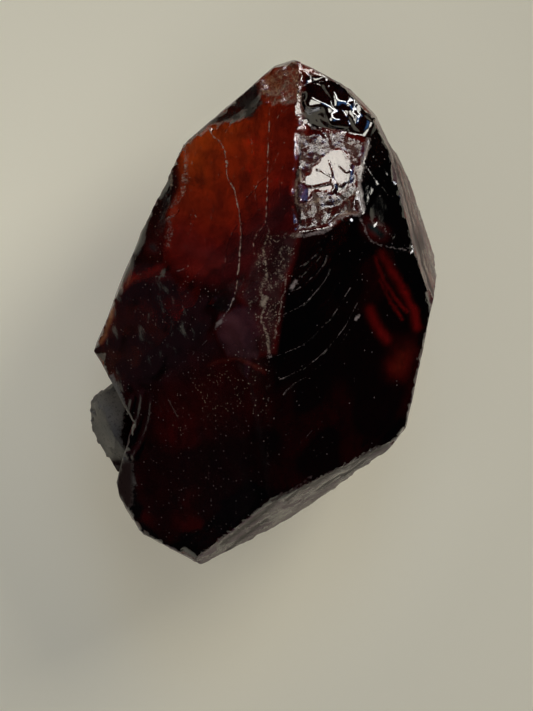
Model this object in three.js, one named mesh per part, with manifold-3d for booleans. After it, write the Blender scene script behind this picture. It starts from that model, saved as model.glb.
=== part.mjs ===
// A broken piece of rough garnet, about 20 mm long, lying on its back.
//
// Frame: millimetres, +X across the stone, +Y along it towards its tip, +Z up. The stone rests on
// the plane z = 0, and the origin is the middle of its footprint box on that plane.
//
// The stone is shaped the way rough gets its shape: a block is cleaved along flat breaks, each
// given by three points that it passes through, and curved conchoidal chips are then struck out of
// what is left. A lump at the lower left, which stands behind a gully, is joined on.

import * as THREE from "three";
import { ConvexGeometry } from "three/addons/geometries/ConvexGeometry.js";
import { mergeVertices } from "three/addons/utils/BufferGeometryUtils.js";
import Module from "manifold-3d";

const wasm = await Module();
wasm.setup();

// ---------------------------------------------------------------- driving dimensions

const BLOCK = { width: 16, length: 22, height: 13 };
const HEART = new THREE.Vector3(0, 0, 7); // a point well inside the stone
const CLEAVER = 60; // side of the block that takes away all that lies beyond a break
const CHIP = { around: 48, down: 36, bulge: 4 }; // bulge: the bowl's half height, in chip depths

// The corners where the large faces meet.
const CREST = [1.36, 3.2, 11.1];
const SADDLE = [3.72, 3.9, 9.85];
const CORNER = [6.05, 2.3, 8.1];
const HUB = [-1.6, -0.3, 11.0];

// ---------------------------------------------------------------- breaks and chips

const planes = {};

function through(name, ...points) {
  const plane = new THREE.Plane().setFromCoplanarPoints(...points.map((p) => new THREE.Vector3(...p)));
  if (plane.distanceToPoint(HEART) > 0) plane.negate();
  planes[name] = plane;
}

// The point of a break that lies over x, y.
function on(name, x, y) {
  const { normal, constant } = planes[name];
  return [x, y, -(constant + normal.x * x + normal.y * y) / normal.z];
}

function solidOf(geometry) {
  geometry.deleteAttribute("normal");
  geometry.deleteAttribute("uv");
  const merged = mergeVertices(geometry, 1e-5);
  return new wasm.Manifold(
    new wasm.Mesh({
      numProp: 3,
      vertProperties: merged.attributes.position.array,
      triVerts: new Uint32Array(merged.index.array),
    }),
  );
}

function geometryOf(solid) {
  const mesh = solid.getMesh();
  const geometry = new THREE.BufferGeometry();
  geometry.setAttribute("position", new THREE.BufferAttribute(mesh.vertProperties, 3));
  geometry.setIndex(new THREE.BufferAttribute(mesh.triVerts, 1));
  geometry.computeVertexNormals();
  return geometry;
}

// Moves a shape sideways until the middle of its footprint box is over the origin.
function centred(geometry) {
  geometry.computeBoundingBox();
  const middle = geometry.boundingBox.getCenter(new THREE.Vector3());
  return geometry.translate(-middle.x, -middle.y, 0);
}

function turnTo(direction) {
  return new THREE.Quaternion().setFromUnitVectors(new THREE.Vector3(0, 0, 1), direction);
}

function cleaver({ normal, constant }) {
  const block = new THREE.BoxGeometry(CLEAVER, CLEAVER, CLEAVER);
  block.translate(0, 0, CLEAVER / 2 - constant);
  block.applyQuaternion(turnTo(normal));
  return solidOf(block);
}

// A shallow bowl in a face: reach gives its half widths, and turn spins it about the face's normal.
function chip(name, x, y, reach, depth, turn = 0) {
  const { normal } = planes[name];
  const high = CHIP.bulge * depth;
  const widen = 1 / Math.sqrt(1 - ((high - depth) / high) ** 2);
  const ball = new THREE.SphereGeometry(1, CHIP.around, CHIP.down);
  ball.scale(reach[0] * widen, reach[1] * widen, high);
  ball.rotateZ(THREE.MathUtils.degToRad(turn));
  ball.translate(0, 0, high - depth);
  ball.applyQuaternion(turnTo(normal));
  ball.translate(...on(name, x, y));
  return solidOf(ball);
}

// ---------------------------------------------------------------- the face that looks up

through("window", CREST, [1.36, 9.0, 8.9], [-3.5, 4.7, 8.7]);
through("right slope", CREST, SADDLE, CORNER);
through("tip slope", CREST, SADDLE, on("window", 1.36, 9.0));
through("dark facet", SADDLE, CORNER, [4.8, 7.0, 8.5]);
through("dark bevel", on("tip slope", 3.62, 5.0), on("tip slope", 4.05, 6.7), on("dark facet", 5.3, 5.5));
through("left flank", HUB, [-6.5, -1.0, 6.8], [-5.2, -4.6, 7.0]);
through("belly", on("right slope", -0.6, -1.7), on("right slope", 0.2, -7.5), [-5.3, -6.0, 6.1]);
through("left bank", on("window", -3.45, 7.0), on("window", -3.9, 2.4), [-5.25, 2.6, 8.3]);
through("brow", on("window", 1.1, 3.05), on("window", -1.3, 1.2), on("right slope", 0.2, -1.2));
through("small patch", on("window", -1.6, 0.2), on("window", -0.4, 0.2), on("belly", -0.9, -1.9));

// ---------------------------------------------------------------- the edges

through("right bevel", on("dark facet", 4.65, 7.4), on("dark facet", 5.95, 2.6), [6.75, 2.0, 5.0]);
through("right flat", on("right slope", 6.7, 0.4), on("right slope", 5.75, -4.2), [6.3, -1.5, 4.6]);
through("right foot", on("right slope", 5.8, -4.3), on("right slope", 4.7, -5.8), [5.3, -5.2, 4.0]);
through("pale strip", on("right slope", 4.9, -5.2), on("right slope", 0.6, -7.4), [2.6, -7.35, 4.5]);
through("pale end", on("belly", -0.1, -7.7), on("belly", -2.1, -9.3), [-0.2, -9.2, 4.2]);
through("bottom left", [-5.0, -8.8, 5.0], [-2.6, -10.1, 4.6], [-4.0, -9.45, 3.4]);
through("bottom corner", [-5.75, -7.4, 5.0], [-4.9, -8.9, 4.9], [-5.4, -8.2, 3.4]);
through("left side", [-7.0, -1.0, 6.3], [-5.7, -7.9, 4.9], [-6.3, -4.6, 3.0]);
through("left edge", [-7.0, -1.2, 6.3], [-5.7, 1.5, 7.0], [-6.3, 0.1, 4.5]);
through("upper left", [-5.6, 1.5, 7.0], [-3.5, 6.9, 6.6], [-4.6, 4.2, 5.0]);
through("notch bank", [-3.4, 7.1, 6.8], [-1.3, 8.65, 6.9], [-2.35, 7.95, 5.4]);
through("tip bank", [-1.0, 8.6, 7.4], [0.4, 9.8, 7.8], [-0.3, 9.25, 6.2]);
through("tip cap", [0.3, 9.75, 7.8], [1.5, 10.15, 7.8], [0.8, 10.0, 6.2]);
through("tip edge", [1.0, 10.2, 8.0], [3.3, 9.0, 7.2], [2.1, 9.65, 5.8]);
through("tip right", [3.2, 9.05, 7.2], [4.6, 7.65, 7.0], [3.9, 8.5, 5.4]);
through("upper right", [4.45, 7.75, 6.8], [5.4, 6.0, 6.2], [5.0, 7.0, 5.0]);

// ---------------------------------------------------------------- the back

through("rest", [-3, -4, 0], [3, -4, 0], [0, 3, 0]);
through("back right", [6.9, 1.0, 4.9], [5.7, -4.4, 4.3], [4.9, -1.5, 0]);
through("back low right", [4.4, -6.0, 3.6], [1.4, -7.8, 4.3], [2.6, -5.9, 0]);
through("back low end", [1.4, -7.8, 4.2], [-0.8, -9.65, 4.0], [-0.8, -7.8, 0]);
through("back low left", [-2.6, -10.1, 4.2], [-5.7, -7.9, 4.0], [-3.4, -7.7, 0]);
through("back left", [-6.9, -1.2, 5.6], [-6.0, -6.0, 4.2], [-3.6, -3.0, 0]);
through("back upper right", [5.9, 4.5, 4.6], [3.2, 9.0, 5.0], [3.0, 3.8, 0]);

let stone = solidOf(
  new THREE.BoxGeometry(BLOCK.width, BLOCK.length, BLOCK.height).translate(0, 0, BLOCK.height / 2),
);
for (const plane of Object.values(planes)) stone = stone.subtract(cleaver(plane));

// ---------------------------------------------------------------- chips, gully and lump

const CHIPS = [
  chip("right slope", 3.4, -0.9, [3.5, 5.0], 0.24, -10),
  chip("dark facet", 4.8, 4.9, [1.2, 3.0], 0.06, 16),
  chip("window", -1.0, 5.2, [3.0, 4.4], 0.25, 20),
  chip("window", -1.5, 8.2, [1.5, 0.85], 0.45, 20),
  chip("tip slope", 2.5, 8.2, [1.3, 1.1], 0.22),
  chip("tip slope", 2.4, 5.6, [1.3, 1.6], 0.1, -30),
  chip("belly", -2.6, -6.0, [3.0, 3.9], 0.07, 20),
  chip("left flank", -3.9, -1.6, [2.9, 2.0], 0.05, 30),
  chip("left bank", -4.4, 4.2, [1.0, 2.8], 0.05, 10),
  chip("right flat", 6.55, -0.9, [1.1, 0.8], 0.22),
  chip("back upper right", 4.2, 5.6, [2.0, 2.4], 0.4),
  chip("back right", 5.5, -1.4, [1.7, 2.8], 0.35, 15),
  chip("back low right", 2.0, -6.4, [2.4, 1.9], 0.35, 10),
  chip("back low left", -4.0, -7.9, [1.8, 1.9], 0.3),
  chip("back left", -5.0, -2.6, [1.6, 2.0], 0.3),
];
for (const bowl of CHIPS) stone = stone.subtract(bowl);

// The stone is thin behind its window: a long step there leaves a shelf clear of the ground.
through("step wall", [-4.0, -1.7, 4.4], [2.6, 4.2, 4.4], [-0.2, 1.1, 0]);
through("shelf", [-4.6, 2.4, 4.8], [0.4, 9.4, 4.3], [1.0, 3.2, 5.6]);
stone = stone.subtract(cleaver(planes["step wall"]).intersect(cleaver(planes["shelf"])));
stone = stone.subtract(chip("shelf", -1.6, 5.0, [3.4, 2.6], 0.12, 35));
stone = stone.subtract(chip("step wall", -1.6, -0.2, [1.9, 2.3], 0.3));

through("gully top", [-6.9, -1.3, 6.4], [-5.45, -4.0, 6.6], [-5.9, -3.0, 4.0]);
through("gully foot", [-5.2, -4.2, 6.6], [-5.8, -6.4, 5.4], [-5.4, -4.9, 4.0]);
stone = stone.subtract(cleaver(planes["gully top"]).intersect(cleaver(planes["gully foot"])));

// Corners of the lump, clockwise from its top left: first its upper side, then its underside.
const LUMP = [
  [-6.1, -2.7, 4.9],
  [-6.9, -3.3, 4.6],
  [-7.15, -3.9, 4.2],
  [-6.5, -3.9, 5.3],
  [-6.85, -4.9, 3.7],
  [-6.1, -6.3, 3.4],
  [-6.0, -5.0, 5.2],
  [-4.8, -6.6, 3.6],
  [-4.6, -3.0, 5.4],
  [-6.4, -3.9, 2.4],
  [-4.6, -3.0, 2.2],
  [-4.8, -5.8, 2.0],
];
stone = stone.add(solidOf(new ConvexGeometry(LUMP.map((p) => new THREE.Vector3(...p)))));

const garnet = new THREE.Mesh(
  centred(geometryOf(stone)),
  new THREE.MeshStandardMaterial({ color: 0x3a0508, roughness: 0.15, metalness: 0 }),
);
garnet.name = "garnet_crystal";

const group = new THREE.Group();
group.add(garnet);

export default group;
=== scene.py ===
# %% [markdown]
# # A rough garnet, looked down on
#
# The object is one broken piece of deep red garnet, about 20 mm long. It has large flat breaks, shell-like
# conchoidal fractures, worn ridges that look frosty, and a thin part near its tip that glows orange
# when light comes through it. The CAD model has the breaks. Here the same stone gets its fine surface,
# its see-through red and the light of a small light table.

# %% Load the frame
import math
import random

import bmesh
import bpy
import numpy as np
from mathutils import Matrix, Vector, kdtree, noise


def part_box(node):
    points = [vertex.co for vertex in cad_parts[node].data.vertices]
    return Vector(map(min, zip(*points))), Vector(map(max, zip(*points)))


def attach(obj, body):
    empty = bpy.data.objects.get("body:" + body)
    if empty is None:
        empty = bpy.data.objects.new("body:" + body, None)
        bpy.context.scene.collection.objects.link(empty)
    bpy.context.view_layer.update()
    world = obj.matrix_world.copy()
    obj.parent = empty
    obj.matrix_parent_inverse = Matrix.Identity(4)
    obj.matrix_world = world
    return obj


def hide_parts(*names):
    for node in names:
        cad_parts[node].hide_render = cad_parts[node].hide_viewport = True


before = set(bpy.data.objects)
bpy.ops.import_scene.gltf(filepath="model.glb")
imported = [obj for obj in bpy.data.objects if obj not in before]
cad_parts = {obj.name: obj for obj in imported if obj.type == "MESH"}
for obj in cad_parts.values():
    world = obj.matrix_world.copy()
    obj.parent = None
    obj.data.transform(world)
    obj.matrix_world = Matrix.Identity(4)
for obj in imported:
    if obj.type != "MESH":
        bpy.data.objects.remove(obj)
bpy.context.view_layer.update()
MM = 0.001
lowest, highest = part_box("garnet_crystal")
print("the stone's box in mm:", [round(side / MM, 2) for side in highest - lowest])

# %% [markdown]
# ## The camera
#
# The stone lies on its back, so the camera hangs straight over it, like one on a copy stand. A long lens
# from far away keeps the outline free of perspective. The stone sits a little above the middle of the frame.

# %% Camera
CAMERA_OVER = Vector((0.2, -1.74)) * MM
CAMERA_HEIGHT = 320 * MM
FRAME_LENGTH = 28.44 * MM  # how much of the table the long side of the frame takes in
WIDEST_LEVEL = 6.5 * MM  # the height above the floor at which the stone's outline lies

camera_data = bpy.data.cameras.new("camera")
camera = bpy.data.objects.new("camera", camera_data)
bpy.context.collection.objects.link(camera)
camera.location = (*CAMERA_OVER, CAMERA_HEIGHT)
camera_data.lens = camera_data.sensor_width * (CAMERA_HEIGHT - WIDEST_LEVEL) / FRAME_LENGTH
camera_data.clip_start = 10 * MM
camera_data.clip_end = 5
bpy.context.scene.camera = camera
bpy.context.scene.view_settings.view_transform = "Standard"
print("lens in mm:", round(camera_data.lens))

# %% [markdown]
# ## Working on a mesh by numbers
#
# The fine surface of a fracture is easiest to say as maths: a ripple is a wave whose phase is the distance
# from the place where the blow fell. So the surface is read into an array, moved and written back. Lengths
# in this part are millimetres. The helpers below read and write the points, and measure how far points
# are inside an outline or from a line, seen from above.


# %% Helpers for points
def read_points(piece, what="co"):
    flat = np.empty(len(piece.data.vertices) * 3)
    if what == "co":
        piece.data.vertices.foreach_get("co", flat)
        return flat.reshape(-1, 3) / MM
    piece.data.vertex_normals.foreach_get("vector", flat)
    return flat.reshape(-1, 3)


def write_points(piece, points):
    piece.data.vertices.foreach_set("co", (points * MM).ravel())
    piece.data.update()


def smooth_step(low, high, value):
    share = np.clip((value - low) / (high - low), 0, 1)
    return share * share * (3 - 2 * share)


def from_line(points, line):
    """How far each point is from an open line, seen from above."""
    line = np.array(line, float)
    best = np.full(len(points), np.inf)
    for start, end in zip(line[:-1], line[1:]):
        step = end - start
        share = np.clip(((points[:, :2] - start) @ step) / np.linalg.norm(step) ** 2, 0, 1)
        gap = np.linalg.norm(points[:, :2] - start - share[:, None] * step, axis=1)
        best = np.minimum(best, gap)
    return best


def inside(points, outline, soft=0.3):
    """1 inside an outline and 0 outside it, seen from above, with a soft rim that wide."""
    closed = [*outline, outline[0]]
    gap = from_line(points, closed)
    crossings = np.zeros(len(points), int)
    x, y = points[:, 0], points[:, 1]
    for (ax, ay), (bx, by) in zip(closed[:-1], closed[1:]):
        spans = (ay > y) != (by > y)
        with np.errstate(divide="ignore", invalid="ignore"):
            crossings += spans & (x < ax + (y - ay) * (bx - ax) / (by - ay))
    signed = np.where(crossings % 2 == 1, gap, -gap)
    return smooth_step(-soft / 2, soft / 2, signed)


def bumps(points, size, seed=0, basis="PERLIN_ORIGINAL"):
    """Smooth noise from -1 to 1 whose lumps are about that many millimetres across."""
    shift = Vector((seed * 7.3, seed * 3.1, seed * 5.7))
    return np.array([noise.noise(Vector(p) / size + shift, noise_basis=basis) for p in points])


# %% [markdown]
# ## The body of the stone
#
# The CAD node has the right facets but long thin triangles, which can't carry fine detail. A copy of it is
# merged and remeshed in the sharp mode, which lays an even grid over the stone and keeps the ridges
# crisp. The ridges themselves are found on the copy first, while it still has few faces. The side
# that looks up is then subdivided once more, because the eye sees it closest.


# %% Copy the stone and find its ridges
RIDGE_ANGLE = math.radians(22)  # a sharper bend between two faces is a ridge between two breaks
RIDGE_STEP = 0.1  # mm between the points that are kept along a ridge
SAME_POINT = 0.001  # mm

stone = bpy.data.objects.new("garnet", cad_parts["garnet_crystal"].data.copy())
bpy.context.collection.objects.link(stone)
stone.data.materials.clear()


def pick(piece):
    bpy.ops.object.select_all(action="DESELECT")
    piece.select_set(True)
    bpy.context.view_layer.objects.active = piece


pick(stone)
bpy.ops.object.mode_set(mode="EDIT")
bpy.ops.mesh.select_all(action="SELECT")
bpy.ops.mesh.remove_doubles(threshold=SAME_POINT * MM)
bpy.ops.object.mode_set(mode="OBJECT")


def ridge_points(piece):
    """Points along the outward ridges: the place, the way out of the stone there, and how sharp it is."""
    mesh = bmesh.new()
    mesh.from_mesh(piece.data)
    found = []
    for edge in mesh.edges:
        if not edge.is_manifold or edge.calc_face_angle_signed() < RIDGE_ANGLE:
            continue
        out = (edge.link_faces[0].normal + edge.link_faces[1].normal).normalized()
        start, end = (vertex.co / MM for vertex in edge.verts)
        steps = max(1, round((end - start).length / RIDGE_STEP))
        for step in range(steps):
            found.append((start.lerp(end, (step + 0.5) / steps), out, edge.calc_face_angle_signed()))
    mesh.free()
    return found


ridges = ridge_points(stone)
print("points along the ridges:", len(ridges))

# %% Remesh
GRID = 0.19  # mm
OCTREE_DEPTH = 7
LOOKS_UP = 0.12  # a face whose normal rises more than this is on the upper side
longest = max(highest - lowest) / MM

pick(stone)
remesh = stone.modifiers.new("grid", "REMESH")
remesh.mode = "SHARP"
remesh.octree_depth = OCTREE_DEPTH
remesh.scale = longest / GRID / 2**OCTREE_DEPTH
remesh.sharpness = 1.0
remesh.use_remove_disconnected = False
bpy.ops.object.modifier_apply(modifier=remesh.name)

bpy.ops.object.mode_set(mode="EDIT")
bpy.ops.mesh.select_all(action="DESELECT")
bpy.ops.object.mode_set(mode="OBJECT")
for face in stone.data.polygons:
    face.select = face.normal.z > LOOKS_UP
bpy.ops.object.mode_set(mode="EDIT")
bpy.ops.mesh.subdivide(number_cuts=1)
bpy.ops.mesh.select_all(action="DESELECT")
bpy.ops.object.mode_set(mode="OBJECT")
print("faces in the grid:", len(stone.data.polygons))

# %% [markdown]
# ## A map of the breaks
#
# Each break has its own surface. The big dark slope on the right is conchoidal, with thin ribs round the
# point where the blow fell. The tip is hackly and glossy. The window near the top left is almost flat,
# crossed by two cracks that come to the surface. Each break is an outline in millimetres, seen from above.

# %% Outlines of the breaks
RIGHT_SLOPE = [
    (3.74, 4.1), (2.74, 3.5), (1.46, 3.3), (0.3, 2.9), (0.1, 0.5), (0.3, -1.3), (0.5, -3.5), (0.3, -7.0),
    (1.5, -7.2), (3.9, -6.1), (5.5, -5.1), (6.6, -1.5), (6.9, -0.1), (6.4, 2.1), (5.5, 2.4), (4.3, 2.9),
]
DARK_FACET = [
    (3.9, 6.6), (4.4, 6.9), (4.6, 7.9), (5.2, 7.3), (5.7, 5.6), (6.1, 3.7), (6.4, 2.3), (5.3, 2.5), (4.5, 2.7),
    (3.9, 3.5), (3.8, 5.0),
]
TIP_GLOSS = [
    (1.6, 9.5), (3.1, 9.5), (4.0, 8.4), (4.7, 7.7), (4.4, 6.9), (3.9, 6.6), (3.1, 6.9), (1.9, 7.1), (1.6, 7.6),
]
GLOSS_RIM = [(1.8, 7.5), (2.5, 7.1), (3.3, 6.9), (4.0, 7.0), (4.5, 7.6)]
TIP_SLOPE = [
    (1.4, 7.1), (2.9, 7.2), (4.15, 6.8), (3.75, 5.2), (3.9, 3.95), (3.1, 3.8), (2.7, 3.4), (1.4, 3.2), (1.2, 4.5),
    (1.35, 6.0),
]
MIRROR = [
    (1.6, 5.15), (2.15, 5.85), (2.6, 6.3), (3.1, 6.5), (3.4, 6.3), (3.65, 5.7), (3.55, 5.2), (3.3, 4.85), (2.9, 4.5),
    (2.65, 4.7), (2.3, 4.85), (2.05, 4.75), (1.8, 4.2), (1.55, 4.35), (1.7, 4.85),
]
BROW = [(-0.9, 0.6), (0.1, 3.0), (1.5, 3.2), (1.3, 2.2), (0.9, 1.0), (0.5, -1.6), (-0.1, -1.7), (-0.3, -0.3)]
WINDOW = [
    (-3.2, 7.2), (-2.3, 7.3), (-0.1, 7.6), (1.1, 9.3), (1.4, 7.9), (1.6, 6.5), (1.4, 6.0), (1.2, 4.5),
    (0.6, 2.9), (-0.9, 0.6), (-3.7, 2.1),
]
NOTCH = [(-3.3, 7.3), (-1.3, 9.0), (-0.2, 9.2), (0.1, 8.3), (-0.3, 7.7), (-2.1, 7.4)]
TIP = [(-0.5, 9.0), (1.5, 10.4), (1.7, 8.4), (0.6, 8.2), (0.0, 8.4)]
LEFT_BANK = [(-3.3, 7.3), (-3.2, 4.9), (-3.7, 3.9), (-3.8, 1.9), (-5.4, 1.2), (-6.3, -0.9), (-7.2, -1.2), (-4.0, 7.3)]
LEFT_FLANK = [(-3.7, 1.9), (-0.9, 0.6), (-1.7, -0.5), (-4.6, -3.3), (-6.4, -3.2), (-7.1, -1.2), (-5.4, 1.2)]
BELLY = [(-1.6, -0.9), (0.2, -1.8), (0.4, -4.0), (0.2, -7.6), (-2.1, -9.6), (-5.0, -8.8), (-5.8, -6.0), (-4.7, -3.3)]
BELLY_DUST = [(-2.5, -2.0), (0.0, -1.9), (0.2, -4.0), (-1.6, -4.4), (-3.6, -5.0), (-4.2, -4.0)]
GULLY = [(-4.2, -3.3), (-5.9, -2.6), (-6.2, -4.2), (-5.8, -5.8), (-5.0, -5.9), (-4.4, -4.6)]
CORNER = [(-6.3, -5.9), (-5.1, -5.9), (-5.1, -7.7), (-5.7, -8.3), (-6.3, -7.7)]
LUMP = [(-5.9, -2.4), (-7.4, -3.2), (-6.4, -7.0), (-4.9, -7.0), (-5.6, -5.0), (-5.4, -3.6)]
print("corners of the big slope's outline:", len(RIGHT_SLOPE))

# %% [markdown]
# ## A map of the lines
#
# Every line is a width, a strength and its corners, which a smooth curve joins. Cracks reach the surface of
# the window and the flanks and look like beaded pale threads. Fissures are the dark veins along the
# steep bevels at the right and the bottom.

# %% Cracks and fissures
CRACKS = [
    (0.045, 1.0, [
        (-2.3, 7.8), (-2.0, 7.1), (-1.6, 6.7), (-1.4, 6.1), (-1.38, 5.4), (-1.1, 4.9), (-0.94, 4.2), (-0.82, 3.3),
        (-0.88, 2.2), (-0.95, 1.2), (-1.1, 0.5), (-1.66, -0.5),
    ]),
    (0.03, 0.7, [(-1.7, 7.8), (-1.4, 7.3), (-1.06, 7.0)]),
    (0.04, 0.9, [(0.9, 9.1), (0.4, 8.3), (0.3, 7.5), (0.26, 6.1), (0.22, 4.9), (0.18, 3.5)]),
    (0.03, 0.6, [(0.1, 6.1), (-0.14, 5.1), (-0.6, 4.5)]),
    (0.035, 0.8, [(0.18, 3.5), (-0.26, 2.9), (-0.3, 2.2)]),
    (0.035, 0.8, [(0.18, 3.5), (0.54, 2.76), (0.9, 3.1), (1.35, 3.5)]),
    (0.03, 0.7, [(-4.34, 1.36), (-3.6, 1.5), (-2.94, 1.76)]),
    (0.025, 0.55, [(-4.75, -5.3), (-4.54, -5.6), (-4.4, -6.1)]),
    (0.025, 0.55, [(-4.8, -5.75), (-4.54, -5.6), (-4.25, -5.35)]),
    (0.03, 0.55, [(-0.38, 6.76), (-0.54, 6.36), (-1.02, 6.04)]),
    (0.03, 0.55, [(-2.7, 2.9), (-2.3, 2.96), (-2.2, 2.5)]),
    (0.03, 0.55, [(-2.6, 6.4), (-2.75, 5.9), (-2.6, 5.5)]),
    (0.03, 0.5, [(-0.3, 1.7), (-0.5, 1.1), (-0.75, 0.7)]),
    (0.03, 0.5, [(-1.4, 1.9), (-1.55, 1.2), (-1.8, 0.5)]),
    (0.03, 0.5, [(-1.7, 1.7), (-1.85, 1.0), (-2.1, 0.4)]),
    (0.025, 0.75, [(-0.6, 7.2), (-0.33, 6.5), (-0.79, 5.6)]),
    (0.025, 0.75, [(1.4, 8.3), (0.7, 7.8), (0.4, 7.1)]),
    (0.025, 0.75, [(0.67, 6.3), (0.3, 5.5), (-0.24, 4.9), (-0.2, 4.3)]),
    (0.025, 0.65, [(0.95, 5.9), (0.7, 5.2), (0.75, 4.5)]),
    (0.025, 0.65, [(-2.3, 4.6), (-1.9, 4.2), (-2.0, 3.6), (-1.6, 3.3)]),
    (0.025, 0.65, [(-2.9, 4.3), (-2.6, 3.7), (-2.8, 3.2)]),
    (0.025, 0.65, [(-1.0, 3.4), (-1.35, 2.7), (-1.45, 1.9)]),
]
FISSURES = [
    (0.09, 1.0, [(5.0, -5.3), (4.1, -5.75), (3.6, -6.1), (2.9, -6.35), (2.2, -6.8), (1.6, -7.05), (1.0, -7.5)]),
    (0.07, 1.0, [(4.2, -5.9), (3.5, -6.4), (3.0, -6.6), (2.3, -7.1)]),
    (0.06, 1.0, [(2.0, -6.55), (1.2, -7.1), (0.4, -7.5)]),
    (0.09, 1.0, [(0.8, -7.2), (0.2, -7.9), (-0.6, -8.5), (-1.6, -9.3)]),
    (0.07, 1.0, [(0.2, -8.3), (-0.7, -9.0), (-1.4, -9.6)]),
    (0.08, 1.0, [(4.9, 7.4), (5.4, 5.8), (5.9, 4.0), (6.5, 1.8), (6.9, 0.6)]),
    (0.08, 0.8, [(5.3, 6.6), (5.8, 4.9), (6.3, 3.1), (6.7, 1.6)]),
]
print("cracks:", len(CRACKS), "fissures:", len(FISSURES))

# %% [markdown]
# A blow leaves ribs: thin curved steps round the place where it fell. In the gully at the lower left they are
# wide enough to be flutes.

# %% Ribs and flutes
RIBS = [
    (0.04, 1.0, [(1.2, 0.8), (1.42, 0.88), (1.9, 1.24), (2.38, 1.76), (2.6, 2.2)]),
    (0.03, 0.8, [(1.3, 1.3), (1.8, 1.6), (2.3, 2.2)]),
    (0.04, 1.0, [(0.7, -0.3), (0.94, -0.08), (1.74, 0.36), (2.46, 1.16), (2.7, 1.7)]),
    (0.03, 0.6, [(1.1, -0.6), (1.9, -0.2), (2.7, 0.5), (3.0, 1.1)]),
    (0.035, 1.0, [(0.5, -1.8), (1.54, -1.36), (2.22, -0.8), (2.94, 0.0), (3.54, 0.96)]),
    (0.03, 0.6, [(1.2, -1.75), (2.0, -1.3), (2.7, -0.6), (3.3, 0.3)]),
    (0.035, 1.0, [(0.7, -2.68), (1.86, -2.12), (3.02, -1.0), (3.82, 0.36)]),
    (0.03, 0.7, [(2.0, -2.4), (2.9, -1.6), (3.6, -0.5), (3.95, 0.4)]),
    (0.05, 1.0, [(0.86, -3.3), (1.22, -2.9), (1.74, -2.6)]),
    (0.03, 0.5, [(3.46, -2.92), (3.86, -1.72), (4.26, -0.44)]),
    (0.045, 0.8, [(0.86, 1.5), (1.74, 1.9), (2.34, 2.5)]),
    (0.03, 0.6, [(4.1, 5.9), (4.5, 5.3), (5.0, 4.6)]),
    (0.03, 0.5, [(4.2, 6.5), (4.7, 5.9), (5.1, 5.4)]),
    (0.03, 0.9, [(1.2, -5.4), (1.6, -5.15), (2.1, -4.6)]),
    (0.03, 0.9, [(1.6, -5.7), (2.0, -5.4), (2.5, -4.9)]),
    (0.03, 0.8, [(2.1, -5.8), (2.5, -5.5), (2.9, -5.1)]),
    (0.03, 0.8, [(0.8, -4.9), (1.1, -4.75), (1.5, -4.3)]),
    (0.03, 0.5, [(-3.9, -3.5), (-3.5, -4.3)]),
    (0.03, 0.5, [(-3.7, -3.4), (-3.3, -4.2)]),
    (0.03, 0.5, [(-4.1, -3.6), (-3.75, -4.35)]),
]
FLUTES = [
    (0.13, 1.0, [(-4.7, -3.3), (-4.8, -4.1), (-5.15, -4.9), (-5.6, -5.4)]),
    (0.13, 0.8, [(-5.1, -3.5), (-5.3, -4.2), (-5.6, -4.8)]),
    (0.10, 0.8, [(-4.35, -3.6), (-4.45, -4.4), (-4.75, -5.2), (-5.1, -5.8)]),
]
print("ribs:", len(RIBS), "flutes:", len(FLUTES))

# %% [markdown]
# Where two breaks meet, the ridge is bruised to a pale powder. A few ridges are soft instead: there one break
# runs into the other without an edge.

# %% Bruised ridges and soft edges
BRUISES = [
    (0.28, 0.4, [(-3.04, 7.16), (-2.96, 5.88), (-3.12, 4.88), (-3.5, 4.08), (-3.7, 2.6)]),
    (0.08, 0.48, [(-3.14, 7.16), (-3.06, 5.88), (-3.22, 4.88)]),
    (0.2, 0.5, [(1.3, 3.0), (2.14, 3.08), (2.74, 3.36), (3.14, 3.76), (3.78, 3.88)]),
    (0.08, 0.5, [(3.86, 3.76), (4.26, 2.96), (4.74, 2.6), (5.54, 2.48), (6.1, 2.3)]),
    (0.25, 0.43, [(1.46, 8.56), (1.54, 7.88), (1.7, 7.16), (1.54, 6.5)]),
    (0.3, 0.36, [(1.5, 4.1), (2.2, 3.9), (3.0, 4.2), (3.7, 4.7), (3.9, 5.6)]),
    (0.3, 0.33, [(1.7, 6.9), (2.6, 6.8), (3.7, 6.6)]),
    (0.2, 0.56, [(4.25, 6.8), (4.05, 6.0), (3.88, 5.2), (3.92, 4.6), (4.0, 3.95)]),
    (0.12, 0.5, [(1.54, 5.68), (1.38, 4.88), (1.5, 4.2), (2.4, 4.5)]),
    (0.12, 0.48, [
        (0.26, 3.1), (0.08, 2.3), (0.2, 1.5), (0.0, 0.9), (0.14, 0.36), (0.02, -0.32), (0.24, -1.0), (0.34, -1.8),
    ]),
    (0.1, 0.44, [(0.78, 2.4), (0.98, 1.48), (0.78, 0.36), (0.5, -1.1)]),
    (0.25, 0.3, [(0.3, -1.8), (0.26, -3.8), (0.3, -5.6), (0.34, -6.3)]),
    (0.05, 0.4, [(-1.66, -0.52), (-2.7, -1.68), (-3.86, -2.64), (-4.66, -3.28)]),
    (0.05, 0.4, [(4.66, 7.68), (5.06, 6.48), (5.54, 4.88), (5.86, 3.68), (6.26, 2.28), (6.86, 0.48)]),
    (0.18, 0.64, [(0.05, 0.3), (0.2, 0.5)]),
    (0.16, 0.64, [(1.2, 0.95), (1.35, 1.15)]),
    (0.09, 0.7, [(3.78, -0.3), (3.88, -0.18)]),
    (0.13, 0.64, [(-1.75, -0.6), (-1.6, -0.45)]),
]
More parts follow.
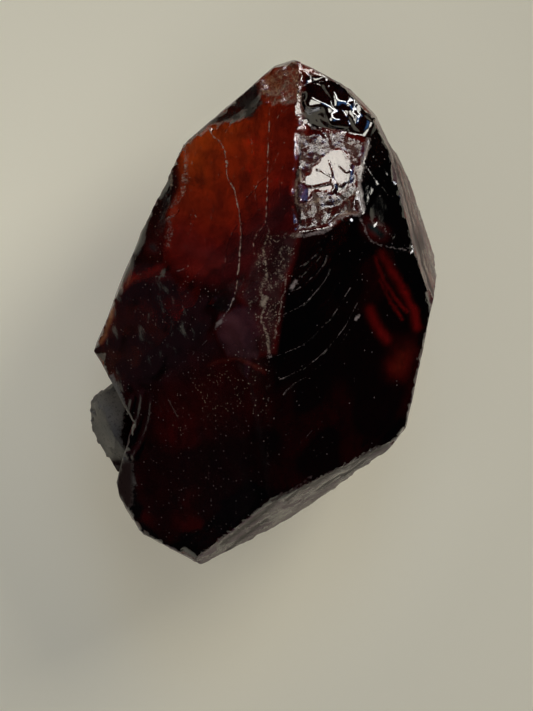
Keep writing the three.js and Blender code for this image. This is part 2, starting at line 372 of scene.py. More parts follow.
SOFT_EDGES = [
    (0.8, 1.0, [(-4.3, 1.8), (-3.7, 2.0), (-0.9, 0.6)]),
    (0.5, 1.0, [(-0.9, 0.6), (0.1, 2.0), (0.6, 2.9)]),
    (0.7, 1.0, [(-0.9, 0.6), (-1.65, -0.5), (-4.2, -2.9)]),
    (0.35, 1.0, [(-1.6, -0.4), (-0.8, -2.0), (0.1, -1.7), (0.9, 1.0), (1.3, 2.6)]),
    (0.7, 1.0, [(0.1, -1.7), (0.3, -4.5), (0.2, -6.6)]),
]
print("bruises:", len(BRUISES), "soft edges:", len(SOFT_EDGES))

# %% [markdown]
# A crack below the surface glows in its own colour, such as the orange one at the left edge. It is a veil: a
# reach, how much of the glass it hides, its colour and a line. Two veils are painted light instead: a teal
# painted reflection on the dark facet and an orange-red painted glow on the big slope. The last four say where
# the stone shows a painted lilac reflection, the line in which its window ends, and the parts of the window
# that are amber and a little dimmer.

# %% Veils and coloured areas
VEILS = [
    (0.11, 1.0, (0.55, 0.2, 0.07), [(-5.95, 0.1), (-6.15, -0.6), (-6.4, -1.2)]),
    (0.08, 0.6, (0.4, 0.1, 0.04), [(-5.2, 1.6), (-5.35, 1.0)]),
    (0.25, 0.5, (0.4, 0.13, 0.03), [(0.3, 9.3), (0.6, 9.0)]),
    (0.3, 0.35, (0.3, 0.1, 0.03), [(-3.0, 7.1), (-2.8, 6.6)]),
    (0.07, 0.3, (0.35, 0.06, 0.03), [(-2.1, -2.1), (-1.5, -1.95), (-0.8, -1.9), (0.1, -2.4)]),
    # painted reflection: a teal matt patch on the dark facet stands in for a teal reflection
    (0.25, 0.6, (0.015, 0.04, 0.04), [(4.3, 3.4), (4.75, 3.05)]),
    # painted glow: an orange-red matt patch on the big slope stands in for light that comes through
    (0.4, 0.15, (0.4, 0.04, 0.01), [(5.7, -1.6), (5.45, -2.2)]),
    (0.22, 0.4, (0.05, 0.045, 0.045), [(-4.35, 2.6), (-4.25, 2.5)]),
    (0.8, 0.4, (0.13, 0.012, 0.012), [(-3.2, 2.6), (-1.5, 1.9), (-0.2, 3.0), (0.8, 4.2)]),
    (0.35, 0.55, (0.24, 0.014, 0.01), [(-3.2, 1.8), (-2.4, 1.6), (-1.7, 1.9)]),
]
# painted reflection: where the stone shows a lilac sheen, painted as a lilac matt veil
LILAC_REFLECTION_OUTLINE = [(-1.6, -0.1), (-0.8, 0.15), (-0.3, -0.1), (-0.1, -1.0), (-0.15, -1.9), (-1.4, -1.8), (-1.75, -0.9)]
WINDOW_FOOT = [(-5.0, 2.6), (-3.7, 2.1), (-0.9, 0.6)]
AMBER = [(-3.2, 7.4), (-0.2, 7.7), (-0.6, 6.9), (-1.9, 6.2), (-2.0, 5.0), (-3.2, 5.0)]
RIGHT_PANE = [(0.25, 7.5), (0.9, 9.0), (1.6, 8.2), (1.6, 6.5), (1.2, 4.5), (0.9, 3.2), (0.2, 3.4)]
print("veils:", len(VEILS))

# %% [markdown]
# Fine lines often run side by side, so such a group is kept as a number of lines, the step from one to the
# next, and the first of them. The small scales along the middle ridge are made that way too. The little bright
# facet has cracks of its own, and the big slope has red streaks, where light comes through. The tint lets that
# light through, and a thin red matt veil over the streaks is painted glow of it.

# %% Scratches, small cracks and red streaks
SCRATCHES = [
    (5, (0.22, -0.1), [(-3.9, -3.45), (-3.5, -4.3)]),
    (4, (0.16, -0.09), [(-4.1, -1.1), (-3.3, -0.4)]),
    (4, (0.3, -0.22), [(-5.2, 0.3), (-4.4, 1.1)]),
    (5, (0.2, -0.07), [(-2.2, 1.6), (-2.5, 0.5)]),
    (3, (0.25, -0.12), [(-0.35, 2.6), (-0.9, 0.9)]),
    (5, (0.3, -0.16), [(0.9, -4.9), (1.7, -4.3)]),
    (4, (0.12, -0.28), [(-3.4, -4.7), (-2.7, -3.9)]),
    (3, (0.17, 0.03), [(-2.6, -5.8), (-2.4, -7.2)]),
]
BROW_SCALES = [
    (9, (0.07, 0.44), [(0.0, -1.5), (0.2, -1.1), (0.7, -1.0)]),
    (7, (0.08, 0.55), [(-0.15, -0.9), (0.3, -0.65), (0.5, -0.2)]),
    (4, (-0.28, 0.12), [(2.6, 3.0), (2.3, 2.7), (1.8, 2.75)]),
]
MIRROR_CRACKS = [
    (0.07, 1.0, [(2.8, 5.2), (2.9, 4.95), (2.8, 4.75)]),
    (0.025, 1.0, [(2.68, 5.95), (2.8, 5.5), (2.85, 5.1)]),
    (0.035, 1.0, [(1.6, 4.95), (2.1, 4.95), (2.5, 5.05), (2.85, 5.15)]),
    (0.025, 0.8, [(2.85, 5.15), (3.15, 4.95), (3.3, 5.1)]),
    (0.02, 0.7, [(3.1, 5.75), (3.35, 5.55), (3.5, 5.6)]),
    (0.02, 0.6, [(2.2, 5.6), (2.5, 5.5), (2.75, 5.35)]),
]
RED_STREAKS_AND_GLOW = [
    (0.13, 1.0, [(4.8, 2.3), (5.2, 1.6), (5.7, 0.8), (6.1, 0.0), (6.2, -0.6)]),
    (0.05, 0.8, [(4.5, 2.2), (4.8, 1.4), (5.3, 0.6), (5.8, 0.0)]),
    (0.04, 0.7, [(4.7, 1.3), (5.1, 0.5), (5.6, -0.3)]),
    (0.15, 0.8, [(4.3, 0.1), (4.55, -0.5), (5.0, -1.1)]),
    (0.35, 0.3, [(5.7, -1.8), (5.4, -2.3)]),
]
print("cracks in the bright facet:", len(MIRROR_CRACKS), "red streaks:", len(RED_STREAKS_AND_GLOW))

# %% [markdown]
# The map is turned into numbers by three helpers. The first lays a curve through a line's corners, the second
# says how near each point is to any of the lines, and the third makes the groups of fine lines.


# %% Helpers for lines
def smooth_line(corners, per_span=6):
    """A Catmull-Rom curve through the corners."""
    ends = [corners[0], *corners, corners[-1]]
    line = []
    for before, start, end, after in zip(ends, ends[1:], ends[2:], ends[3:]):
        a, b, c, d = (np.array(corner, float) for corner in (before, start, end, after))
        for step in range(per_span):
            t = step / per_span
            bend = (2 * a - 5 * b + 4 * c - d) * t**2 + (3 * (b - c) + d - a) * t**3
            line.append(0.5 * (2 * b + (c - a) * t + bend))
    return [*line, np.array(corners[-1], float)]


def along_lines(points, lines, wobble=0.0):
    """1 on any of the lines, falling off over each line's width, times its strength."""
    near = np.zeros(len(points))
    for width, strength, corners in lines:
        gap = from_line(points + wobble, smooth_line(corners))
        near = np.maximum(near, strength * np.exp(-((gap / width) ** 2)))
    return near


def side_by_side(groups, width=0.03):
    """Thin lines, each group made from its first line by stepping it sideways."""
    lines = []
    for count, step, first in groups:
        for turn in range(count):
            shift = np.array(step) * (turn + draw.uniform(-0.2, 0.2))
            lines.append((width, draw.uniform(0.4, 1), [np.array(corner) + shift for corner in first]))
    return lines


draw = random.Random(7)
scratch_lines = side_by_side(SCRATCHES)
brow_lines = side_by_side(BROW_SCALES)
print("fine lines side by side:", len(scratch_lines) + len(brow_lines))

# %% [markdown]
# ## A finer grid where it matters
#
# Cracks and ribs are thinner than the grid, so the faces near them are subdivided once more. So are the
# breaks with the finest bumps.

# %% Refine near the lines
REFINE_REACH = 0.09  # mm
REFINE_UP = 0.1  # how much a face's normal has to rise

centres = np.array([face.center for face in stone.data.polygons]) / MM
faces_up = np.array([face.normal.z > REFINE_UP for face in stone.data.polygons])
detailed = np.zeros(len(centres), bool)
for _, _, corners in [*CRACKS, *RIBS, *MIRROR_CRACKS, *brow_lines]:
    detailed |= from_line(centres, smooth_line(corners)) < REFINE_REACH
for outline in (TIP_GLOSS, TIP, TIP_SLOPE):
    detailed |= inside(centres, outline, 0.1) > 0
stone.data.polygons.foreach_set("select", detailed & faces_up)
pick(stone)
bpy.ops.object.mode_set(mode="EDIT")
bpy.ops.mesh.subdivide(number_cuts=1)
bpy.ops.mesh.select_all(action="SELECT")
bpy.ops.mesh.quads_convert_to_tris(quad_method="BEAUTY", ngon_method="BEAUTY")
bpy.ops.object.mode_set(mode="OBJECT")
print("triangles in the stone:", len(stone.data.polygons))

# %% [markdown]
# ## Soft edges
#
# Between the window, the left flank and the belly the breaks run into one another, so those edges are
# rounded by moving each point of them towards the middle of its neighbours, many times over.

# %% Round the soft edges
ROUNDS = 100

points = read_points(stone)
ends = np.empty(2 * len(stone.data.edges), int)
stone.data.edges.foreach_get("vertices", ends)
others = ends.reshape(-1, 2)[:, ::-1].ravel()
neighbours = np.bincount(ends, minlength=len(points))
softness = along_lines(points, SOFT_EDGES) * smooth_step(0, 0.2, read_points(stone, "normal")[:, 2])
for _ in range(ROUNDS):
    sums = [np.bincount(ends, points[others, axis], len(points)) for axis in range(3)]
    points += softness[:, None] * (np.column_stack(sums) / neighbours[:, None] - points)
write_points(stone, points)
print("points on a soft edge:", int((softness > 0.5).sum()))

# %% [markdown]
# ## Fractures
#
# What the map says is now cut into the surface: the sum of many small heights is added along the normals.
# First each break and each line becomes a number from 0 to 1 at every point. The points are shifted by a
# noise before they are measured, so the lines wobble a little, as real cracks do.

# %% Where the breaks are
WOBBLE = 0.05  # mm

normals = read_points(stone, "normal")
up = smooth_step(0.05, 0.3, normals[:, 2])
wobble = WOBBLE * np.column_stack([bumps(points, 0.35, 12), bumps(points, 0.35, 13), np.zeros(len(points))])

slope = inside(points, RIGHT_SLOPE, 0.5) * up
facet = inside(points, DARK_FACET, 0.4) * up
gloss = inside(points, TIP_GLOSS, 0.3) * up
tip = inside(points, TIP, 0.4) * up
mirror = inside(points + 2 * wobble, MIRROR, 0.12) * up
rough = inside(points, TIP_SLOPE, 0.25) * up * (1 - mirror)
brow = inside(points, BROW, 0.4) * up
window = inside(points, WINDOW, 0.5) * up
left_flank = inside(points, LEFT_FLANK, 0.6) * up
print("points on the big slope:", int((slope > 0.5).sum()))

# %% Where the lines are
ribs = along_lines(points, [*RIBS, *brow_lines], 0.5 * wobble)
ribs *= 0.8 + 0.2 * smooth_step(-0.3, 0.2, bumps(points, 0.5, 3))
cracks = along_lines(points, CRACKS, wobble) * up
fissures = along_lines(points, FISSURES, wobble) * smooth_step(0, 0.1, normals[:, 2])
flutes = along_lines(points, FLUTES, 0.5 * wobble) * up
scratches = along_lines(points, scratch_lines, wobble) * up * smooth_step(-0.3, 0.1, bumps(points, 0.4, 27))
mirror_cracks = along_lines(points, MIRROR_CRACKS, wobble) * mirror
print("points on a crack:", int((cracks > 0.5).sum()))

# %% [markdown]
# A rib is a thin raised line and a crack a thin groove. The gloss at the tip comes from rounded bumps with
# creases between them, which end in a raised lip. The rough part of the tip's slope falls away from the
# little bright facet, so only that facet mirrors the light as a whole.

# %% Heights
LIP_REACH = 0.35  # mm
FALLS_FOR = 1.5  # mm

lip = np.exp(-((from_line(points, GLOSS_RIM) / LIP_REACH) ** 2))
fall = np.minimum(from_line(points, [*MIRROR, MIRROR[0]]), FALLS_FOR)
creases = 1 - 2.4 * np.abs(bumps(points, 0.9, 7))
hackly = 0.11 * creases + 0.11 * bumps(points, 0.7, 8) + 0.04 * bumps(points, 0.35, 11) - 0.12
wavy = 0.06 * bumps(points, 1.8, 19) + 0.02 * (1 - 2.4 * np.abs(bumps(points, 0.8, 20)))

lift = 0.012 * ribs * up + 0.04 * flutes
lift += slope * (0.03 * bumps(points, 0.9, 2) + 0.01 * bumps(points, 0.3, 4))
lift += facet * (0.02 * bumps(points, 1.4, 5) + 0.008 * bumps(points, 0.4, 6))
lift += gloss * (hackly * (1 - 0.6 * lip) + 0.12 * lip)
lift += tip * (0.13 * bumps(points, 0.6, 9) + 0.07 * bumps(points, 0.25, 10) - 0.1)
lift += rough * (0.05 * bumps(points, 0.6, 14) + 0.06 * bumps(points, 0.4, 15, "VORONOI_F1") - 0.2 * fall)
lift += brow * (0.04 * bumps(points, 0.7, 24) + 0.01 * bumps(points, 0.25, 25))
lift += left_flank * (0.05 * bumps(points, 1.1, 28) + 0.02 * bumps(points, 0.4, 29))
lift += window * 0.012 * bumps(points, 0.5, 26)
lift += mirror * 0.004 * bumps(points, 0.8, 16)
lift -= 0.012 * cracks + 0.035 * mirror_cracks + 0.025 * fissures + 0.008 * scratches
lift += up * (1 - mirror) * (0.02 * bumps(points, 2.4, 17) + 0.005 * bumps(points, 0.6, 18))
lift += (1 - up) * wavy
points += normals * lift[:, None]
print("the surface moves in and out by, in mm:", round(-lift.min(), 2), round(lift.max(), 2))

# %% [markdown]
# ## Worn ridges
#
# The ridges of rough are never sharp: small flat chips have come off all along them. Each chip is a small
# plane near a point of a ridge, and what stands outside it within a short reach is pushed onto it.

# %% Chip the ridges
CHIPS = 1300
BIG_CHIP_SHARE = 0.06
BIG_CHIP = (0.07, 0.14)  # mm off the ridge, at least and at most
SMALL_CHIP = (0.01, 0.045)
FULL_CHIP_ANGLE = math.radians(60)  # a blunter ridge loses less
LEAN = 0.22  # how unevenly the chips are turned
CHIP_REACH = 0.08  # mm, and three times the chip's own size on top


def tree_of(places):
    """A search tree that finds the places near a point."""
    tree = kdtree.KDTree(len(places))
    for index, place in enumerate(places):
        tree.insert(place, index)
    tree.balance()
    return tree


sharp = along_lines(np.array([place for place, _, _ in ridges]), SOFT_EDGES) < 0.3
ridges = [ridge for ridge, kept in zip(ridges, sharp) if kept]
near_points = tree_of(points)

for _ in range(CHIPS):
    place, out, angle = draw.choice(ridges)
    size = draw.uniform(*BIG_CHIP) if draw.random() < BIG_CHIP_SHARE else draw.uniform(*SMALL_CHIP)
    size *= min(1, angle / FULL_CHIP_ANGLE)
    lean = (out + Vector([draw.gauss(0, LEAN) for _ in range(3)])).normalized()
    cut = place - out * size
    for _, index, _ in near_points.find_range(place, CHIP_REACH + 3 * size):
        over = (Vector(points[index]) - cut).dot(lean)
        if over > 0:
            points[index] -= np.array(lean) * over

points = np.clip(points, np.array(lowest) / MM, np.array(highest) / MM)
write_points(stone, points)
print("points along the sharp ridges:", len(ridges))

# %% [markdown]
# ## Masks for the finish
#
# The finish needs to know where the stone is bruised, where dust lies, and how deep its colour is. Each is
# worked out once for every point of the mesh and stored as an attribute that the shader reads.

# %% Worn edges and smaller areas
WEAR_REACH = 0.1  # mm

near_ridges = tree_of([place for place, _, _ in ridges])
to_ridge = np.array([near_ridges.find(point)[2] for point in points])
wear = np.exp(-((to_ridge / WEAR_REACH) ** 2))

lump = inside(points, LUMP, 0.3)
notch = inside(points, NOTCH, 0.3) * up
corner = inside(points, CORNER, 0.4)
left_bank = inside(points, LEFT_BANK, 0.3) * up
belly = inside(points, BELLY, 0.6) * up
dusty_belly = inside(points, BELLY_DUST, 1.8) * up
pane = inside(points, RIGHT_PANE, 0.5) * up
near_foot = 1 - smooth_step(0.2, 2.6, from_line(points, WINDOW_FOOT))
blotches = smooth_step(0.05, 0.45, bumps(points, 1.6, 22))
bruises = along_lines(points, BRUISES, 2 * wobble) * up
streaks_and_painted_glow = along_lines(points, RED_STREAKS_AND_GLOW, wobble) * slope
sides = smooth_step(0.45, 0.25, normals[:, 2]) * smooth_step(-0.5, -0.2, normals[:, 2])
bottom_sides = sides * smooth_step(-4.5, -5.5, points[:, 1])
print("points on a worn edge:", int((wear > 0.5).sum()))

# %% [markdown]
# Dust is the chance that a point carries a pale speck. Powder is how much of the surface is crushed: below
# about 0.2 nothing shows, near 0.5 it is broken up by the grain, and above about 0.7 it is solid. In the notch
# and the corner the same mask carries painted shade instead.

# %% Dust and powder
dust = np.maximum.reduce([
    dusty_belly * smooth_step(-0.4, 0.4, bumps(points, 0.9, 23)),
    0.5 * tip,
    0.5 * rough,
    0.6 * brow,
    0.25 * left_flank,
    0.3 * left_bank,
    0.2 * facet * smooth_step(4.0, 6.5, points[:, 1]),
    0.12 * belly,
    0.5 * notch,
])
on_the_sides = 0.42 + 0.1 * bottom_sides * up + 0.25 * bumps(points, 1.3, 33) + 0.15 * bumps(points, 0.3, 34)
powder_and_painted_shade = np.maximum.reduce([
    0.6 * wear * (0.6 + bumps(points, 0.7, 21)),
    cracks * (0.58 + 0.5 * bumps(points, 0.14, 30)),
    0.5 * ribs,
    0.66 * fissures,
    0.5 * scratches,
    bruises,
    0.42 * tip,
    0.26 * rough,
    brow * (0.27 + 0.2 * bumps(points, 0.4, 32)),
    0.2 * left_bank,
    # painted shade: dark powder in the notch, laid over what it would mirror
    notch * (0.5 + 0.3 * bumps(points, 0.35, 36)),
    0.64 * lump,
    # painted shade: dark powder in the corner, laid over what it would mirror
    0.66 * corner,
    sides * on_the_sides,
])
print("points with powder:", int((powder_and_painted_shade > 0.4).sum()))

# %% [markdown]
# The powder is the stone's own, so it keeps some red and brown. It is palest where it is dust, and the lump at
# the lower left is grey. In the notch at the top left and the corner at the bottom left it is nearly black:
# there it is painted shade, laid over what those faces would mirror.


# %% Colour of the powder
def paint(where, colour, onto):
    """Moves the colours of the points towards a colour, as far as the mask says."""
    onto += where[:, None] * (np.array(colour) - onto)


powder_and_painted_shade_colour = np.tile([0.30, 0.24, 0.23], (len(points), 1))
paint(tip, (0.22, 0.13, 0.05), powder_and_painted_shade_colour)
paint(inside(points, WINDOW, 0.6) * up, (0.42, 0.30, 0.22), powder_and_painted_shade_colour)
paint(rough, (0.24, 0.12, 0.10), powder_and_painted_shade_colour)
paint(left_bank, (0.16, 0.11, 0.08), powder_and_painted_shade_colour)
paint(dust, (0.55, 0.42, 0.26), powder_and_painted_shade_colour)
paint(sides, (0.075, 0.045, 0.055), powder_and_painted_shade_colour)
paint(bottom_sides * up, (0.17, 0.09, 0.13), powder_and_painted_shade_colour)
paint(np.clip(2 * fissures, 0, 1), (0.03, 0.01, 0.012), powder_and_painted_shade_colour)
# painted shade: the notch's nearly black powder
paint(notch, (0.03, 0.02, 0.015), powder_and_painted_shade_colour)
paint(lump, (0.27, 0.255, 0.225), powder_and_painted_shade_colour)
paint(lump * smooth_step(-0.1, 0.5, bumps(points, 1.1, 37)), (0.17, 0.165, 0.155), powder_and_painted_shade_colour)
# painted shade: the corner's nearly black powder
paint(corner, (0.03, 0.01, 0.01), powder_and_painted_shade_colour)
print("mean colour of the powder:", powder_and_painted_shade_colour.mean(axis=0).round(2))

# %% [markdown]
# The back of the stone is full of small cracks below the surface, so it gets a red veil all over. Faces that
# lean far in under the window stay clear, because the window's light comes in through them.

# %% Veils
leaning_in = smooth_step(-0.85, -0.65, normals[:, 2]) * smooth_step(3.5, 1.5, points[:, 1])
back = smooth_step(0.4, 0.1, normals[:, 2]) * np.maximum(leaning_in, smooth_step(-0.5, -0.3, normals[:, 2]))
# painted reflection: the lilac sheen in the middle of the stone, as a matt veil
painted_lilac_reflection = inside(points + 2 * wobble, LILAC_REFLECTION_OUTLINE, 0.2) * (0.7 + 0.6 * bumps(points, 0.5, 31))

veil_and_painted_light = 0.75 * back
veil_and_painted_light_colour = np.tile([0.4, 0.005, 0.005], (len(points), 1))
paint(back, (0.13, 0.006, 0.006), veil_and_painted_light_colour)
paint(bottom_sides, (0.11, 0.03, 0.045), veil_and_painted_light_colour)
for reach, share, colour, corners in VEILS:
    where = along_lines(points, [(reach, 1.0, corners)], wobble) * smooth_step(0, 0.1, normals[:, 2])
    veil_and_painted_light = np.maximum(veil_and_painted_light, share * where)
    paint(where, colour, veil_and_painted_light_colour)
# painted glow over the red streaks and the painted lilac reflection join the veil here
veil_and_painted_light = np.maximum.reduce([veil_and_painted_light, 0.25 * streaks_and_painted_glow, 0.7 * painted_lilac_reflection, 0.7 * rough, 0.5 * brow])
paint(rough, (0.05, 0.01, 0.008), veil_and_painted_light_colour)
paint(brow, (0.10, 0.02, 0.02), veil_and_painted_light_colour)
# painted reflection: the lilac colour of that sheen
paint(np.clip(3 * painted_lilac_reflection, 0, 1), (0.13, 0.04, 0.048), veil_and_painted_light_colour)
print("points with a veil:", int((veil_and_painted_light > 0.3).sum()))

# %% [markdown]
# The tint says how much light passes the surface. The window lets most of it through. The thick parts, at
# the bottom and on the right, and the dark breaks round them get a nearly black tint: that is painted shade,
# standing in for the shade under the stone, which the glowing floor would otherwise light from below. Red
# blotches show where it is a little more.

# %% Tint
tint_and_painted_shade = np.tile([0.75, 0.55, 0.6], (len(points), 1))
thick = np.maximum(smooth_step(0.0, -1.5, points[:, 1]), smooth_step(3.3, 4.0, points[:, 0])) * up
warm_flank = left_flank * near_foot * smooth_step(-4.6, -3.2, points[:, 0])
dark_flank = left_flank * smooth_step(-0.1, 0.25, bumps(points, 0.9, 35))
# painted shade: the nearly black tints in this cell stand in for the shade under the stone
paint(thick, (0.002, 0.001, 0.001), tint_and_painted_shade)
paint(inside(points, AMBER, 0.8), (1.0, 1.0, 1.0), tint_and_painted_shade)
paint(0.9 * pane, (0.38, 0.2, 0.4), tint_and_painted_shade)
paint(0.9 * near_foot, (0.42, 0.17, 0.18), tint_and_painted_shade)
paint(left_flank, (0.004, 0.002, 0.003), tint_and_painted_shade)
paint(0.4 * warm_flank, (0.12, 0.03, 0.03), tint_and_painted_shade)
paint(dark_flank, (0.0003, 0.0001, 0.0001), tint_and_painted_shade)
paint(belly, (0.007, 0.001, 0.001), tint_and_painted_shade)
paint(belly * blotches, (0.11, 0.016, 0.014), tint_and_painted_shade)
paint(0.7 * dusty_belly, (0.25, 0.022, 0.016), tint_and_painted_shade)
paint(left_bank, (0.004, 0.003, 0.003), tint_and_painted_shade)
paint(gloss, (0.001, 0.0005, 0.0005), tint_and_painted_shade)
paint(tip, (0.35, 0.25, 0.12), tint_and_painted_shade)
paint(lump, (0.03, 0.01, 0.01), tint_and_painted_shade)
paint(inside(points, GULLY, 0.4), (0.01, 0.004, 0.004), tint_and_painted_shade)
paint(rough, (0.15, 0.02, 0.02), tint_and_painted_shade)
paint(notch, (0.004, 0.003, 0.002), tint_and_painted_shade)
paint(mirror, (0.1, 0.1, 0.1), tint_and_painted_shade)
paint(slope, (0.001, 0.0004, 0.0004), tint_and_painted_shade)
paint(slope * blotches, (0.03, 0.005, 0.005), tint_and_painted_shade)
paint(facet, (0.0001, 0.0001, 0.0001), tint_and_painted_shade)
paint(streaks_and_painted_glow, (1.0, 0.3, 0.3), tint_and_painted_shade)
print("mean tint:", tint_and_painted_shade.mean(axis=0).round(3))

# %% [markdown]
# Satin dulls the gloss a little where a break is worn, and hackle makes the surface finely rough where it is
# torn. Then everything is stored, and the mesh is shaded smooth except over real edges.

# %% Store the masks
SMOOTH_ANGLE = math.radians(28)

satin = np.maximum.reduce([0.25 * window, 0.12 * left_flank, 0.2 * belly, 0.1 * left_bank, 0.1 * brow, 0.05 * rough])
hackle = np.maximum.reduce([0.4 * rough, 0.6 * tip, 0.2 * brow])


def store(name, values):
    """Numbers, or colours, as an attribute of the stone's points."""
    if values.ndim == 1:
        layer = stone.data.attributes.new(name, "FLOAT", "POINT")
        layer.data.foreach_set("value", np.clip(values, 0, 1).astype(np.float32))
        return
    layer = stone.data.attributes.new(name, "FLOAT_COLOR", "POINT")
    opaque = np.column_stack([np.clip(values, 0, 1), np.ones(len(values))])
    layer.data.foreach_set("color", opaque.astype(np.float32).ravel())


store("powder_and_painted_shade", powder_and_painted_shade)
store("dust", dust)
store("satin", satin)
store("hackle", hackle)
store("veil_and_painted_light", veil_and_painted_light)
store("veil_and_painted_light_colour", veil_and_painted_light_colour)
store("powder_and_painted_shade_colour", powder_and_painted_shade_colour)
store("tint_and_painted_shade", tint_and_painted_shade)

pick(stone)
bpy.ops.object.shade_smooth_by_angle(angle=SMOOTH_ANGLE)
print("the stone has", len(stone.data.polygons), "triangles")

# %% [markdown]
# ## Shader maths
#
# A shader value is wrapped so that it can be added and multiplied like a number. Every other
# node comes from one method, which takes the node's type, its settings and the values of its sockets.


# %% Shader helpers
class Value:
    """One output of a shader tree. Arithmetic on it adds Math nodes."""

    def __init__(self, socket):
        self.socket = socket

    def math(self, operation, *values):
        tree = self.socket.id_data
        node = tree.nodes.new("ShaderNodeMath")
        node.operation = operation
        for slot, value in zip(node.inputs, values):
            connect(tree, slot, value)
        return Value(node.outputs[0])

    def __add__(self, other):
        return self.math("ADD", self, other)

    def __sub__(self, other):
        return self.math("SUBTRACT", self, other)

    def __mul__(self, other):
        return self.math("MULTIPLY", self, other)

    def __truediv__(self, other):
        return self.math("DIVIDE", self, other)

    def __radd__(self, other):
        return self.math("ADD", other, self)

    def __rsub__(self, other):
        return self.math("SUBTRACT", other, self)

    def __rmul__(self, other):
        return self.math("MULTIPLY", other, self)

    def clamp(self):
        return self.math("MINIMUM", self.math("MAXIMUM", self, 0.0), 1.0)

    def between(self, low, high):
        """0 below low, 1 above high, and a straight rise between them."""
        return ((self - low) / (high - low)).clamp()


def connect(tree, slot, value):
    if isinstance(value, Value):
        tree.links.new(value.socket, slot)
    else:
        slot.default_value = value


class Nodes:
    """Adds nodes to a material or a world."""

    def __init__(self, owner):
        owner.use_nodes = True
        self.tree = owner.node_tree
        self.tree.nodes.clear()

    def add(self, kind, settings=None, inputs=None, output=0):
        """The wanted output of a new node, or the node itself if no output is asked for."""
        node = self.tree.nodes.new("ShaderNode" + kind)
        for name, value in (settings or {}).items():
            setattr(node, name, value)
        for name, value in (inputs or {}).items():
            connect(self.tree, node.inputs[name], value)
        return Value(node.outputs[output]) if output is not None else node

    def in_mm(self):
        """The place on the object, in millimetres."""
        return self.add("VectorMath", {"operation": "SCALE"}, {0: self.add("TexCoord", output=3), "Scale": 1 / MM})

    def blend(self, factor, first, second):
        """A colour between two colours."""
        return self.add("Mix", {"data_type": "RGBA"}, {0: factor, 6: first, 7: second}, 2)


# %% [markdown]
# ## The garnet
#
# Garnet is clear, with a high refractive index. Its red is not paint: the light loses its blue first, then
# its green, and last its red on the way through, so a thin part is orange and a thick one nearly black.
# That is a Volume Absorption shader behind a plain glass surface. The tint on the glass is broken up by two
# noises, one of them drawn out like flames.

# %% Clear garnet
GARNET_IOR = 1.77
LOSS_PER_MM = (0.22, 0.80, 1.6)  # how fast red, green and blue die out inside the stone
DENSITY = max(LOSS_PER_MM) / MM
ABSORPTION = tuple(1 - loss / MM / DENSITY for loss in LOSS_PER_MM)
BLACK = (0, 0, 0, 1)
FLAMES_TURN = math.radians(-12)
FLAMES_STRETCH = (2.2, 0.6, 1.0)
RELIEF = 0.03  # mm


def mask(nodes, name):
    """A number that was stored on the stone's points."""
    return nodes.add("Attribute", {"attribute_name": name}, output=2)


def painted(nodes, name):
    """A colour that was stored on the stone's points."""
    return nodes.add("Attribute", {"attribute_name": name})


def clear_garnet(nodes, in_mm, cloud, relief):
    """The glass of the stone, with its tint, its worn gloss and its finest relief."""
    drawn_out = nodes.add(
        "Mapping", {}, {"Vector": in_mm, "Rotation": (0, 0, FLAMES_TURN), "Scale": FLAMES_STRETCH}
    )
    flames = nodes.add("TexNoise", {}, {"Vector": drawn_out, "Scale": 1.0, "Detail": 6.0, "Roughness": 0.7})
    mottle = (0.4 + cloud.between(0.36, 0.56) * 0.6) * (0.4 + flames.between(0.35, 0.52) * 0.6)
    return nodes.add(
        "BsdfPrincipled",
        {},
        {
            "Base Color": nodes.blend(mottle, BLACK, painted(nodes, "tint_and_painted_shade")),
            "Roughness": 0.02 + mask(nodes, "satin") * (0.2 + cloud * 0.4),
            "IOR": GARNET_IOR,
            "Transmission Weight": 1.0,
            "Normal": nodes.add("Bump", {}, {"Strength": 1.0, "Distance": RELIEF * MM, "Height": relief}),
        },
    )


print("absorption colour:", [round(part, 2) for part in ABSORPTION])

# %% [markdown]
# Ridges and cracks are crushed to a pale powder, and cracks below the surface hide the inside. Both are
# plain matt shaders, mixed in by the masks, which also put painted shade, painted reflections and painted
# glow on a few places. Dust is made of small round specks: some cells of a Voronoi
# texture are chosen by chance, more of them where there is more dust.


# %% Powder, dust and veils
POWDER_IOR = 1.45  # the powder's own gloss is weaker


def matt(nodes, colour, roughness, gloss):
    """A shader that light doesn't pass, with only a weak gloss."""
    return nodes.add(
        "BsdfPrincipled",
        {},
        {"Base Color": colour, "Roughness": roughness, "IOR": POWDER_IOR, "Specular IOR Level": gloss},
    )


def cover(nodes, in_mm, grain, fine):
    """How much of the surface the powder and the dust hide."""
    cells = nodes.add("TexVoronoi", {}, {"Vector": in_mm, "Scale": 10.0}, None)
    chances = nodes.add("SeparateColor", {}, {0: Value(cells.outputs["Color"])}, None)
    chosen = (Value(chances.outputs[0]) + 0.7 * mask(nodes, "dust")).between(0.97, 0.99)
    specks = chosen * (1 - Value(cells.outputs["Distance"]).between(0.1, 0.32)) * Value(chances.outputs[1])
    crushed = (0.5 * grain + 0.5 * fine + mask(nodes, "powder_and_painted_shade")).between(0.86, 1.12)
    return (crushed + specks * 1.2).clamp()


